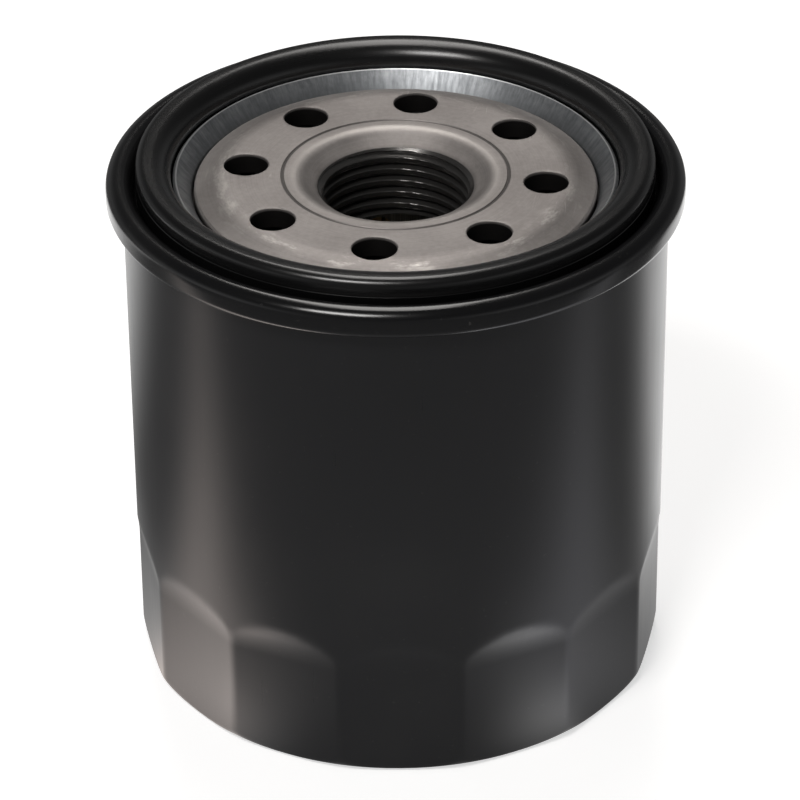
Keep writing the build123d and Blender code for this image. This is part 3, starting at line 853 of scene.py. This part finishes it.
# ---------------------------------------------------------------- housing
@dataclass
class FilterCan:
    """The drawn steel can: a round cup with wrench flats at its closed end and its edge bent into the seam."""

    radius: float = 33.0
    sheet: float = 0.5
    corner: float = 2.25
    flats: int = 14
    flat_angle: float = -82.0
    flat_bite: float = 0.05
    flat_height: float = 16.1
    ramp_angle: float = 14.5
    recess_radius: float = 21.0
    recess_depth: float = 1.2
    recess_bend: float = 0.8
    crown: Point = (33.4, 65.1)
    hook_end: float = 64.15
    edge_round: float = 0.30
    ramp_round: float = 0.40
    side_round: float = 0.16

    def angles(self) -> list[float]:
        """Column angles, close together at the edges between the flats."""
        half = 180.0 / self.flats
        near = [0.0, 0.35, 0.7, 1.1, 1.7, 2.7, 4.4, 6.8, 9.6]
        offsets = [-half + step for step in near] + [0.0] + [half - step for step in reversed(near[1:])]
        found = []
        for flat in range(self.flats):
            middle = self.flat_angle + flat * 2 * half
            found += [math.radians(middle + offset) for offset in offsets]
        return found

    def flat(self, angle: float, height: float) -> float:
        """How far from the axis the flats lie.

        Args:
            angle: Where, in radians.
            height: Where, in millimetres.

        Returns:
            The radius, with the edges between the flats rounded.
        """
        pitch = 2 * math.pi / self.flats
        apothem = (self.radius - self.flat_bite) * math.cos(pitch / 2)
        slope = math.tan(math.radians(self.ramp_angle))
        rise = smooth_most(0.0, (height - self.flat_height) * slope, self.ramp_round)
        off = (angle - math.radians(self.flat_angle) + pitch / 2) % pitch - pitch / 2
        near = (apothem + rise) / math.cos(off)
        beside = (apothem + rise) / math.cos(pitch - abs(off))
        return smooth_least(near, beside, self.edge_round)

    def shape(self, angle: float, radius: float, height: float) -> Point:
        """Pull a point of the round cup in to the flats.

        Args:
            angle: Its angle.
            radius: Its radius on the round cup.
            height: Its height.

        Returns:
            Its new radius and height.
        """
        rim = self.radius - self.corner
        if height > self.flat_height + 5.5 or radius < rim - 1.0:
            return radius, height
        if height > self.corner:
            within = self.radius - radius
        else:
            within = self.corner - math.hypot(max(radius - rim, 0.0), self.corner - height)
        inset = self.sheet if within > self.sheet / 2 else 0.0
        return smooth_least(self.flat(angle, height) - inset, radius, self.side_round), height

    def outline(self) -> list[Point]:
        """The cup's section, up its outside, over the hook and down its inside."""
        sheet, rim = self.sheet, self.radius - self.corner
        bore = self.radius - sheet
        bend = (self.crown[0] - bore)
        low, top = self.flat_height - 2.1, self.flat_height + 5.4
        draw = Outline(0.0, self.recess_depth)
        draw.to(self.recess_radius - 0.5, self.recess_depth, 8)
        panel_bend = (self.recess_radius - 0.5, self.recess_depth - self.recess_bend)
        draw.arc(panel_bend, self.recess_bend, 90, -45)
        foot = self.recess_radius + self.recess_depth + 0.35
        draw.arc((foot, self.recess_bend), self.recess_bend, 225, 45)
        draw.to(rim, 0.0, 6).arc((rim, self.corner), self.corner, 270, 90, 4.5)
        draw.to(self.radius, low, 6).to(self.radius, top, 30).to(self.radius, self.crown[1] - 1.0, 8)
        draw.to(self.radius, self.crown[1])
        draw.arc(self.crown, bend - sheet, 180, -180, 15)
        draw.to(self.crown[0] + bend - sheet, self.hook_end).to(self.crown[0] + bend, self.hook_end)
        draw.to(self.crown[0] + bend, self.crown[1]).arc(self.crown, bend, 0, 180, 12)
        draw.to(bore, self.crown[1] - 1.0).to(bore, top, 8).to(bore, low, 30).to(bore, self.corner, 6)
        draw.arc((rim, self.corner), self.corner - sheet, 0, -90, 6)
        draw.to(foot, sheet, 6).arc((foot, self.recess_bend), self.recess_bend - sheet, 270, -45, 15)
        draw.arc(panel_bend, self.recess_bend + sheet, 45, 45)
        draw.to(0.0, self.recess_depth + sheet, 8)
        return draw.closed()

    def build(self) -> bpy.types.Object:
        """Make the can and dress it."""
        mesh = turn(self.outline(), self.angles(), self.shape)
        piece = add_object("filter_can", mesh, SatinBlackPaint().material("satin_black_paint"), 25.0)
        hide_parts("housing_can")
        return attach(piece, Body.HOUSING.value)


@dataclass
class SeamedLid:
    """The lid: one sheet from the hook inside the seam, over the crown, across the gasket's groove, to the lip."""

    sheet: float = 0.6
    crown: Point = (33.4, 65.1)
    crown_radius: float = 1.6
    curl: Point = (34.05, 64.05)
    curl_radius: float = 0.95
    floor: float = 63.3
    chuck_bend: float = 0.5
    lip: Point = (25.5086, 63.6)
    lip_bend: float = 0.3
    lip_length: float = 2.6
    lip_flare: float = 50.0
    columns: int = 288

    def outline(self) -> list[Point]:
        """The sheet's section."""
        sheet, flare = self.sheet, math.radians(self.lip_flare)
        run, rise = math.cos(flare), math.sin(flare)
        inner = self.crown[0] - self.crown_radius
        outer_bend = self.lip_bend + sheet
        start = (self.lip[0] - outer_bend * rise, self.lip[1] + outer_bend * run)
        draw = Outline(start[0] + self.lip_length * run, start[1] + self.lip_length * rise)
        draw.to(*start, 5)
        draw.arc(self.lip, outer_bend, 90 + self.lip_flare, 180 - self.lip_flare)
        bend = (inner - self.chuck_bend, self.floor + self.chuck_bend)
        draw.to(bend[0], self.floor - sheet, 3).arc(bend, self.chuck_bend + sheet, 270, 90)
        draw.to(inner + sheet, self.crown[1]).arc(self.crown, self.crown_radius - sheet, 180, -180)
        draw.to(self.curl[0] + self.curl_radius - sheet, self.curl[1])
        draw.arc(self.curl, self.curl_radius - sheet, 0, -180)
        hook = self.curl[0] - self.curl_radius
        draw.to(hook + sheet, self.crown[1] - 0.1).to(hook, self.crown[1] - 0.1).to(hook, self.curl[1])
        draw.arc(self.curl, self.curl_radius, 180, 180)
        draw.to(self.crown[0] + self.crown_radius, self.crown[1], 2).arc(self.crown, self.crown_radius, 0, 180, 7.5)
        draw.to(inner, bend[1]).arc(bend, self.chuck_bend, 0, -90, 15)
        draw.to(self.lip[0], self.floor, 3).arc(self.lip, self.lip_bend, 270, self.lip_flare - 180, 15)
        tip = (self.lip[0] - self.lip_bend * rise + self.lip_length * run,
               self.lip[1] + self.lip_bend * run + self.lip_length * rise)
        # the sheared edge has a small rounded burr on its outer side
        draw.to(tip[0] - 0.12 * run, tip[1] - 0.12 * rise, 4).to(tip[0] - 0.1 * rise, tip[1] + 0.1 * run)
        return draw.closed()

    def build(self) -> bpy.types.Object:
        """Make the lid and dress it."""
        mesh = turn(self.outline(), even(self.columns))
        piece = add_object("rolled_lid", mesh, LidFinish().material(), 30.0)
        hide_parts("seaming_lid")
        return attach(piece, Body.HOUSING.value)


@dataclass
class BasePlate:
    """The thick pressed plate with the inlet holes and the threaded collar."""

    top: float = 65.7
    sheet: float = 2.6
    radius: float = 32.3
    flange_top: float = 62.7
    edge: float = 24.37
    edge_drop: float = 1.3
    shoulder: float = 21.24
    knee_round: float = 6.0
    hole_circle: float = 18.29
    hole_radius: float = 2.7
    holes: int = 8
    hole_round: float = 0.15
    groove: float = 13.69
    groove_depth: float = 0.12
    funnel: float = 1.55
    funnel_slope: float = 35.0
    mouth_round: float = 2.5
    thread_major: float = 9.525
    thread_minor: float = 8.75
    pitch: float = 25.4 / 16
    thread_half_angle: float = 30.0
    collar: float = 11.35
    collar_root: float = 12.6
    collar_end: float = 55.2
    step: float = 59.2
    under_knee: float = 21.95
    columns: int = 168

    def thread(self, angle: float, radius: float, height: float) -> Point:
        """Cut the right-hand thread into the bore's wall.

        Args:
            angle: The point's angle, in radians.
            radius: Its radius on the plain bore; other points are left alone.
            height: Its height.

        Returns:
            Its new radius and height.
        """
        start = self.top - self.funnel
        if radius > self.thread_minor + 0.001 and not (radius < self.thread_major and height > start - 1.0):
            return radius, height
        phase = ((height - self.collar_end) / self.pitch - angle / (2 * math.pi)) % 1.0
        depth = (0.5 - abs(phase - 0.5)) * self.pitch / math.tan(math.radians(self.thread_half_angle))
        lead = self.thread_major - (start - height)
        cut = smooth_least(self.thread_major - 0.02, self.thread_major + 0.08 - depth, 0.12)
        wall = smooth_most(self.thread_minor, cut, 0.08)
        return min(max(wall, lead), self.thread_major), height

    def outline(self) -> list[Point]:
        """The plate's section, from the collar's end up the bore, over the top, and back beneath."""
        start = self.top - self.funnel
        draw = Outline(self.thread_minor, self.collar_end + 0.01)
        draw.to(self.thread_minor, start - 0.78, 150).to(self.thread_major - 0.001, start, 12)
        slope = math.radians(self.funnel_slope)
        mouth = self.thread_major + self.funnel / math.tan(slope) + self.mouth_round * math.tan(slope / 2)
        draw.to(self.thread_major + 0.12, start + 0.05)
        roll = (mouth, self.top - self.mouth_round)
        draw.arc(roll, self.mouth_round, 90 + self.funnel_slope, -self.funnel_slope, 4)
        draw.to(self.groove - 0.22, self.top, 4)
        draw.to(self.groove - 0.12, self.top - self.groove_depth)
        draw.to(self.groove + 0.12, self.top - self.groove_depth)
        knee = (self.shoulder - 1.3, self.top - self.knee_round)
        draw.to(self.groove + 0.22, self.top).to(knee[0], self.top, 8)
        draw.arc(knee, self.knee_round, 90, -25, 4)
        draw.to(self.edge - 0.25, self.top - self.edge_drop + 0.1, 3)
        draw.arc((self.edge - 0.35, self.top - self.edge_drop - 0.3), 0.35, 65, -65, 15)
        draw.to(self.edge, self.flange_top).to(self.radius, self.flange_top, 3)
        draw.to(self.radius, self.flange_top - self.sheet)
        draw.to(self.edge - 0.4, self.flange_top - self.sheet, 3).to(self.under_knee, self.top - self.sheet, 3)
        draw.to(self.collar_root, self.top - self.sheet, 6).to(self.collar_root, self.step)
        draw.to(self.collar, self.step).to(self.collar, self.collar_end + 0.2, 3)
        draw.to(self.collar - 0.2, self.collar_end).to(self.thread_minor + 0.01, self.collar_end)
        return draw.closed()

    def cutter(self) -> bpy.types.Mesh:
        """One inlet hole as a solid: a cylinder that flares where the punch drew the top edge in."""
        flare, steps = self.hole_round, 4
        draw = Outline(0.0, self.top + 0.5).to(self.hole_radius + flare, self.top + 0.5)
        for step in range(steps + 1):
            angle = math.radians(90.0 * step / steps)
            draw.to(self.hole_radius + flare * (1 - math.sin(angle)), self.top - flare * (1 - math.cos(angle)))
        draw.to(self.hole_radius, self.top - self.sheet - 1.0).to(0.0, self.top - self.sheet - 1.0)
        return turn(draw.closed(), even(48))

    def build(self) -> bpy.types.Object:
        """Make the plate, punch its holes and dress it."""
        steel = PlateSteel().material()
        blank = turn(self.outline(), even(self.columns), self.thread)
        punch = bpy.data.objects.new("punch", self.cutter())
        bpy.context.scene.collection.objects.link(punch)
        tree = Tree("inlet_holes", {
            "Count": ("Int", self.holes), "Circle radius": ("Float", self.hole_circle * MM),
            "Punch": ("Object", punch)})
        ring = tree.add("GeometryNodeMeshCircle", {"fill_type": "NONE"}, {
            "Vertices": "@Count", "Radius": "@Circle radius"})
        tool = tree.add("GeometryNodeObjectInfo", {"transform_space": "ORIGINAL"}, {"Object": "@Punch"})
        punches = tree.add("GeometryNodeInstanceOnPoints", None, {
            "Points": ring.outputs[0], "Instance": tool.outputs["Geometry"]})
        apart = tree.add("GeometryNodeRealizeInstances", None, {"Geometry": punches.outputs[0]})
        cut = tree.add("GeometryNodeMeshBoolean", {"operation": "DIFFERENCE", "solver": "EXACT"}, {
            0: tree.start.outputs["Geometry"], 1: apart.outputs[0]})
        tree.close(cut.outputs[0], steel)
        piece = tree.grow("base_plate_tapped", blank, steel, 32.0)
        bpy.data.objects.remove(punch)
        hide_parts("base_plate")
        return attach(piece, Body.HOUSING.value)


@dataclass
class RingGasket:
    """The rubber ring that seals on the engine: a domed crown, and a foot held beneath the lid's lip."""

    outer: float = 31.3
    inner: float = 27.1
    floor: float = 63.3
    top: float = 68.8
    outer_round: float = 1.1
    inner_round: float = 2.6
    foot: float = 1.25
    foot_height: float = 0.7
    flash: float = 0.05
    lip_flare: float = 50.0
    columns: int = 256

    def outline(self) -> list[Point]:
        """The ring's section."""
        foot_r = self.inner - self.foot
        draw = Outline(foot_r + 0.1, self.floor + 0.002).to(self.outer - 0.5, self.floor + 0.002, 4)
        draw.arc((self.outer - 0.5, self.floor + 0.5), 0.498, 270, 90)
        # a hair of mould flash stands on the outside, below the crown
        flash = self.top - self.outer_round - 1.1
        draw.to(self.outer, flash - 0.08, 3).to(self.outer + self.flash, flash).to(self.outer, flash + 0.08)
        draw.to(self.outer, self.top - self.outer_round)
        draw.arc((self.outer - self.outer_round, self.top - self.outer_round), self.outer_round, 0, 90, 7.5)
        draw.arc((self.inner + self.inner_round, self.top - self.inner_round), self.inner_round, 90, 90, 5)
        neck = self.floor + self.foot_height + self.foot * math.tan(math.radians(self.lip_flare))
        draw.to(self.inner, neck).to(foot_r, self.floor + self.foot_height, 2).to(foot_r, self.floor + 0.1)
        return draw.closed()

    def build(self) -> bpy.types.Object:
        """Make the ring and dress it."""
        mesh = turn(self.outline(), even(self.columns))
        piece = add_object("ring_gasket", mesh, Rubber().material("gasket_rubber"), 30.0)
        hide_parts("sealing_gasket")
        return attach(piece, Body.HOUSING.value)


@dataclass
class DrainValve:
    """The rubber valve behind the inlet holes: a hub on the collar, a thin flap and a sealing lip."""

    hub_inner: float = 11.4
    hub_outer: float = 13.8
    hub_bottom: float = 57.0
    shoulder: float = 59.2
    flap: float = 0.9
    plate_under: float = 63.1
    lip_inner: float = 21.19
    lip_outer: float = 21.69
    columns: int = 144

    def outline(self) -> list[Point]:
        """The moulding's section, hub, flap and lip in one."""
        end = self.lip_inner - 0.35
        low = self.plate_under - 0.3 - self.flap
        draw = Outline(self.hub_inner, self.hub_bottom + 0.15).to(self.hub_inner + 0.15, self.hub_bottom)
        draw.to(self.hub_outer - 0.3, self.hub_bottom, 2)
        draw.arc((self.hub_outer - 0.3, self.hub_bottom + 0.3), 0.3, 270, 90, 30)
        draw.to(self.hub_outer, self.shoulder - self.flap).to(end, low, 10)
        draw.to(self.lip_inner + 0.2, self.plate_under - 1.1).to(self.lip_outer, self.plate_under - 0.55)
        draw.to(self.lip_outer, self.plate_under - 0.12).to(self.lip_outer - 0.1, self.plate_under - 0.02)
        draw.to(self.lip_inner + 0.05, self.plate_under - 0.02).to(end, self.plate_under - 0.3)
        draw.to(self.hub_outer - self.flap / 2, self.shoulder - 0.002, 10).to(self.hub_inner, self.shoulder - 0.002)
        return draw.closed()

    def build(self) -> bpy.types.Object:
        """Make the valve as one moulding, from the hub on the collar to its lip."""
        mesh = turn(self.outline(), even(self.columns))
        piece = add_object("drain_valve_rubber", mesh, Rubber(roughness=0.45).material("valve_rubber"))
        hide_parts("anti_drain_valve", "anti_drain_lip")
        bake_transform(piece)
        return piece


@dataclass
class Housing:
    """Everything that is fixed to the can."""

    def build(self) -> list[bpy.types.Object]:
        """Make the housing's pieces."""
        pieces = [FilterCan().build(), SeamedLid().build(), BasePlate().build(), RingGasket().build(),
                  DrainValve().build()]
        cured = SetCompound(light=(0.30, 0.26, 0.20, 1.0), dark=(0.18, 0.15, 0.12, 1.0))
        dress_node("seam_sealant", cured.material("seam_compound"))
        dress_node("spring_seat", PressedSteel().material("spring_seat_steel"))
        return pieces


# ---------------------------------------------------------------- element
@dataclass
class Element:
    """The filter element: pleated paper between two end caps, on a perforated tube, with the bypass valve below."""

    spring_wire: float = 1.6
    spring_turns: float = 3.0
    bypass_wire: float = 0.9
    bypass_turns: float = 4.5

    def springs(self) -> list[bpy.types.Object]:
        """The spring under the element and the one in the bypass valve."""
        wire = SpringSteel().material()
        made = []
        for name, node, thick, turns, ends in (
            ("element_coil", "element_spring", self.spring_wire, self.spring_turns, (Body.HOUSING, Body.ELEMENT)),
            ("bypass_coil", "bypass_spring", self.bypass_wire, self.bypass_turns, (Body.BYPASS, Body.ELEMENT)),
        ):
            low, high = node_box(node)
            seats = (low.z, high.z)
            spring = coil_spring(name, thick, high.x - thick / 2, turns, *seats, wire)
            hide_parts(node)
            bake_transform(spring)
            made.append(spring)
        return made

    def build(self) -> list[bpy.types.Object]:
        """Make the element's pieces and dress the CAD nodes that stay."""
        pressed = PressedSteel().material("pressed_steel")
        compound = SetCompound().material("potting_compound")
        tube = PressedSteel(grain=Grain.UPRIGHT).material("tube_steel")
        dress_node("pleated_media", FilterPaper().material())
        dress_node("centre_tube", tube)
        for node in ("upper_potting", "lower_potting"):
            dress_node(node, compound)
        for node in ("upper_end_cap", "lower_end_cap", "media_seam_clip", "bypass_seat", "bypass_cage",
                     "bypass_poppet"):
            dress_node(node, pressed)
        dress_node("bypass_seal", Rubber(roughness=0.45).material("seal_rubber"))
        return self.springs()


# ---------------------------------------------------------------- studio
@dataclass
class Studio:
    """The floor, the light and the camera."""

    azimuth: float = 8.04
    elevation: float = 31.761
    distance: float = 543.19
    aim_height: float = 33.53
    roll: float = -0.548
    lens: float = 196.374
    shift: float = 0.00276

    def direction(self, turn_by: float, elevation: float) -> Vector:
        """The way from the filter to something that stands round it.

        Args:
            turn_by: Its direction from the product view, positive to the right, in degrees.
            elevation: Its direction above the horizon, in degrees.

        Returns:
            A unit vector.
        """
        turned, raised = math.radians(self.azimuth + turn_by), math.radians(elevation)
        return Vector((math.sin(turned) * math.cos(raised), -math.cos(turned) * math.cos(raised), math.sin(raised)))

    def camera(self) -> bpy.types.Object:
        """Stand the camera at the product view."""
        data = bpy.data.cameras.new("camera")
        data.lens, data.sensor_width, data.shift_x = self.lens, 36.0, self.shift
        data.clip_start, data.clip_end = 0.01, 20.0
        made = bpy.data.objects.new("camera", data)
        bpy.context.scene.collection.objects.link(made)
        back = self.direction(0.0, self.elevation)
        facing = (-back).to_track_quat("-Z", "Y").to_matrix().to_4x4()
        place = Matrix.Translation(Vector((0.0, 0.0, self.aim_height * MM)) + back * self.distance * MM)
        made.matrix_world = place @ facing @ Matrix.Rotation(math.radians(self.roll), 4, "Z")
        bpy.context.scene.camera = made
        return made

    def ahead_and_across(self, graph: Graph, x: Signal, y: Signal) -> tuple[Signal, Signal]:
        """Turn two coordinates so that the first points towards the product view.

        Args:
            graph: The tree that they are read in.
            x: The object's X.
            y: The object's Y.

        Returns:
            The distance towards the view, and to its right.
        """
        front = math.radians(self.azimuth - 90.0)
        return x * math.cos(front) + y * math.sin(front), y * math.cos(front) - x * math.sin(front)

    def table(self) -> bpy.types.Object:
        """Lay the table that polished faces see: dark in front, a bright strip on each side, white behind.

        Distances are in millimetres from the filter's axis, towards the product view and to each side of it.
        """
        graph = Graph("table_in_reflections")
        parts = graph.add("SeparateXYZ", None, {0: graph.signal("TexCoord", output="Object")})
        x, y = (Signal(graph, socket) / MM for socket in list(parts.outputs)[:2])
        ahead, right = self.ahead_and_across(graph, x, y)
        behind, left = 0.0 - ahead, 0.0 - right
        # a strip runs out on each side, and fades away from the filter
        fade_left, fade_right = 1.95 - left.rising(50.0, 120.0) * 0.95, 0.80 - right.rising(50.0, 120.0) * 0.30
        strip_left = ahead.hump(20.5, 14.5) * left.rising(12.0, 34.0) * fade_left
        strip_right = ahead.hump(30.0, 17.0) * right.rising(18.0, 38.0) * fade_right
        # small bright patches close to the wrench flats
        near_left = ahead.hump(27.0, 5.5) * left.hump(30.0, 10.0) * 1.9
        near_right = ahead.hump(30.5, 5.0) * right.hump(25.5, 8.0) * 2.2
        near_back = left.hump(35.0, 13.0) * behind.hump(14.0, 32.0) * 0.45
        near_front = ahead.hump(68.0, 36.0) * right.hump(0.0, 60.0) * 0.12
        # white paper lies behind the filter, nearer on its right, and ends at some distance
        white_left = behind.rising(28.0, 98.0) * left.rising(-20.0, 20.0) * 1.35
        slanted = behind - (right - 50.0) * 0.55
        white_right = slanted.rising(-9.0, 38.0) * right.rising(-20.0, 20.0) * 1.45
        white = (white_left + white_right) * (1.0 - behind.rising(125.0, 165.0))
        level = 0.17 + strip_left + strip_right + white + near_left + near_right + near_back + near_front
        tint = graph.mix(strip_left.clamped(), (1.0, 0.995, 0.99, 1.0), (1.0, 0.90, 0.85, 1.0))
        tint = graph.mix(strip_right.clamped(), tint, (0.93, 0.93, 1.0, 1.0))
        glow = graph.signal("Emission", None, {"Color": tint, "Strength": level})
        graph.add("OutputMaterial", None, {"Surface": glow})
        made = self.slab("table_card", graph.material, -0.0004)
        made.visible_camera = made.visible_diffuse = made.visible_shadow = False
        return made

    def slab(self, name: str, material: bpy.types.Material, height: float) -> bpy.types.Object:
        """A large flat sheet that isn't part of the filter.

        Args:
            name: Its name.
            material: Its material.
            height: Its height in metres.

        Returns:
            The sheet.
        """
        mesh = bpy.data.meshes.new(name)
        half = 4.0
        corners = [(-half, -half, height), (half, -half, height), (half, half, height), (-half, half, height)]
        mesh.from_pydata(corners, [], [(0, 1, 2, 3)])
        mesh.materials.append(material)
        made = bpy.data.objects.new(name, mesh)
        bpy.context.scene.collection.objects.link(made)
        return made

    def floor(self) -> bpy.types.Object:
        """Lay a plain pale floor."""
        graph = Graph("pale_floor")
        material = graph.finish(Base_Color=grey(0.80), Roughness=0.9, Emission_Color=grey(1.0),
                                Emission_Strength=0.62)
        made = self.slab("floor", material, -0.00005)
        made.visible_glossy = False
        made.visible_shadow = False
        return made

    def sky(self) -> None:
        """Surround the filter with a dim room that is lighter at the horizon on both sides."""
        world = bpy.data.worlds.new("studio")
        bpy.context.scene.world = world
        graph = Graph("studio", world)
        parts = graph.add("SeparateXYZ", None, {0: graph.signal("TexCoord", output="Generated")})
        x, y, z = (Signal(graph, socket) for socket in parts.outputs)
        ahead, across = self.ahead_and_across(graph, x, y)
        angle = graph.signal("Math", {"operation": "ARCTAN2"}, {0: across, 1: ahead}) * math.degrees(1.0)
        horizon = 1.0 - z.size().rising(0.05, 0.45)
        sides = angle.hump(-75.0, 35.0) * 0.55 + angle.hump(62.0, 35.0) * 0.50
        behind = angle.size().rising(95.0, 150.0) * 0.08
        level = 0.07 + horizon * (sides + behind + 0.05)
        back = graph.signal("Background", None, {"Color": grey(1.0), "Strength": level})
        graph.add("OutputWorld", None, {"Surface": back})

    def panel(self, name: str, azimuth: float, elevation: float, distance: float, size: tuple[float, float],
              brightness: float, colour: tuple[float, float, float]) -> None:
        """Hang one soft panel that faces the filter.

        Args:
            name: Its name.
            azimuth: Its direction from the product view, positive to the right, in degrees.
            elevation: Its direction above the horizon, in degrees.
            distance: Its distance in metres.
            size: Its width and height in metres.
            brightness: Its radiance.
            colour: Its colour.
        """
        data = bpy.data.lights.new(name, "AREA")
        data.shape, data.size, data.size_y, data.color = "RECTANGLE", *size, colour
        data.energy = brightness * math.pi * size[0] * size[1]
        made = bpy.data.objects.new(name, data)
        bpy.context.scene.collection.objects.link(made)
        away = self.direction(azimuth, elevation)
        spot = away * distance + Vector((0.0, 0.0, self.aim_height * MM))
        made.matrix_world = Matrix.Translation(spot) @ away.to_track_quat("Z", "Y").to_matrix().to_4x4()

    def build(self) -> None:
        """Set the studio up."""
        self.camera()
        self.floor()
        self.table()
        self.sky()
        self.panel("back_panel", azimuth=183.0, elevation=63.0, distance=0.8, size=(0.22, 0.56), brightness=6.0,
                   colour=(1.0, 0.97, 0.94))
        self.panel("key_panel", azimuth=-26.0, elevation=52.0, distance=0.8, size=(0.29, 0.19), brightness=17.5,
                   colour=(1.0, 0.98, 0.96))
        bpy.context.scene.view_settings.view_transform = "Standard"


def main() -> None:
    """Build the studio and every piece."""
    logging.basicConfig(level=logging.INFO, format="%(message)s")
    Studio().build()
    for assembly in (Housing(), Element()):
        for piece in assembly.build():
            log.info("%s: %d faces", piece.name, len(piece.data.polygons))


if __name__ == "__main__":
    main()
